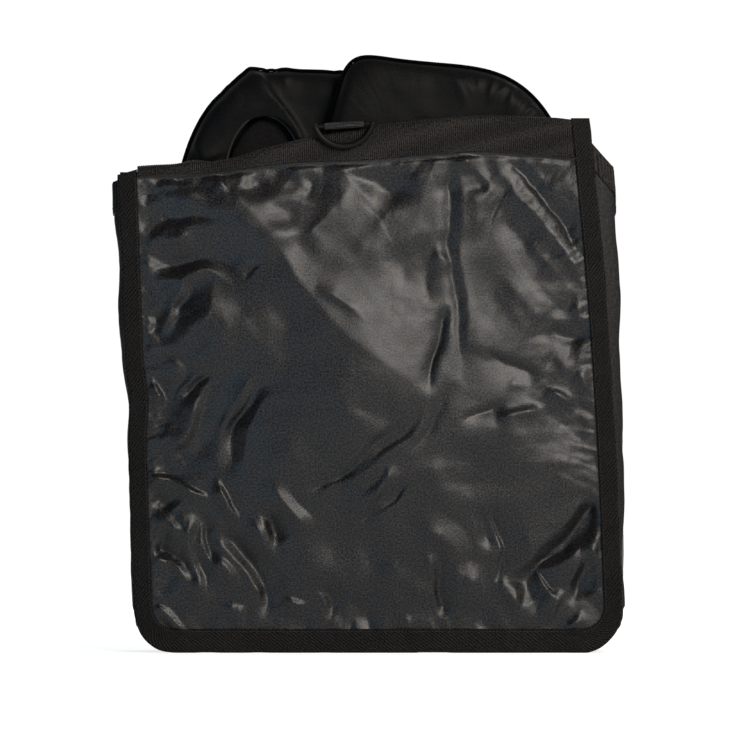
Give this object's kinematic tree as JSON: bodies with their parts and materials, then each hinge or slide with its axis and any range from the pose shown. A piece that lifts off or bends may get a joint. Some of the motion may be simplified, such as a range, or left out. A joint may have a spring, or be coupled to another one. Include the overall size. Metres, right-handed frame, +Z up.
{
  "type": "folded pop-up goals in carry bag",
  "caption": "Flat gusseted carry bag with bound edges and an open ribbed mouth, holding folded spring-hoop goals whose lobed tops stand out of it; a D-ring hangs on the front hem.",
  "frame": {"origin": "centre of the overall box at the plane that the bag's base stands on", "axes": "+X to the right as seen from the front, +Y from the front panel to the back panel, +Z up"},
  "size_m": [0.5103, 0.1381, 0.5985],
  "materials": {
    "bag_cloth": "glossy coated nylon",
    "gusset_cloth": "coated nylon",
    "binding_tape": "twill tape, matte",
    "ribbed_tape": "ribbed tape, matte",
    "tab_webbing": "plain webbing, matte",
    "ring_plastic": "moulded, glossy",
    "goal_cloth": "thin nylon, satin",
    "goal_net": "knitted mesh",
    "hoop_rod": "pultruded glass fibre",
    "ferrule_metal": "drawn tube, satin",
    "hoop_sleeve": "thin nylon",
    "goal_piping": "tape over cord, matte",
    "opening_tape": "narrow tape, satin"
  },
  "bodies": {
    "bag": {"front_panel": "bag_cloth", "back_panel": "bag_cloth", "gusset": "gusset_cloth", "front_binding": "binding_tape", "back_binding": "binding_tape", "front_hem_tape": "ribbed_tape", "back_hem_tape": "ribbed_tape", "gusset_hem_left": "ribbed_tape", "gusset_hem_right": "ribbed_tape", "d_ring_tab": "tab_webbing"},
    "ring": {"d_ring": "ring_plastic"},
    "left_goal": {"left_goal_front_skin": "goal_cloth", "left_goal_back_skin": "goal_cloth", "left_goal_opening_tape": "opening_tape", "left_goal_net": "goal_net", "left_goal_hoop": "hoop_rod", "left_goal_ferrule": "ferrule_metal", "left_goal_sleeve": "hoop_sleeve", "left_goal_piping": "goal_piping", "left_goal_peg_tabs": "tab_webbing"},
    "right_goal": {"right_goal_front_skin": "goal_cloth", "right_goal_back_skin": "goal_cloth", "right_goal_net": "goal_net", "right_goal_hoop": "hoop_rod", "right_goal_ferrule": "ferrule_metal", "right_goal_sleeve": "hoop_sleeve", "right_goal_piping": "goal_piping", "right_goal_peg_tabs": "tab_webbing"}
  },
  "joints": [
    {"name": "ring_swing", "type": "hinge", "parent": "bag", "child": "ring", "pos_m": [-0.026, -0.0535, 0.52763], "axis": [-0.9978, 0, -0.0663], "range_deg": [0, 180]},
    {"name": "left_goal_slide", "type": "slide", "parent": "bag", "child": "left_goal", "axis": [0, 0, 1], "range_m": [0, 0.6]},
    {"name": "right_goal_slide", "type": "slide", "parent": "bag", "child": "right_goal", "axis": [0, 0, 1], "range_m": [0, 0.6]}
  ]
}
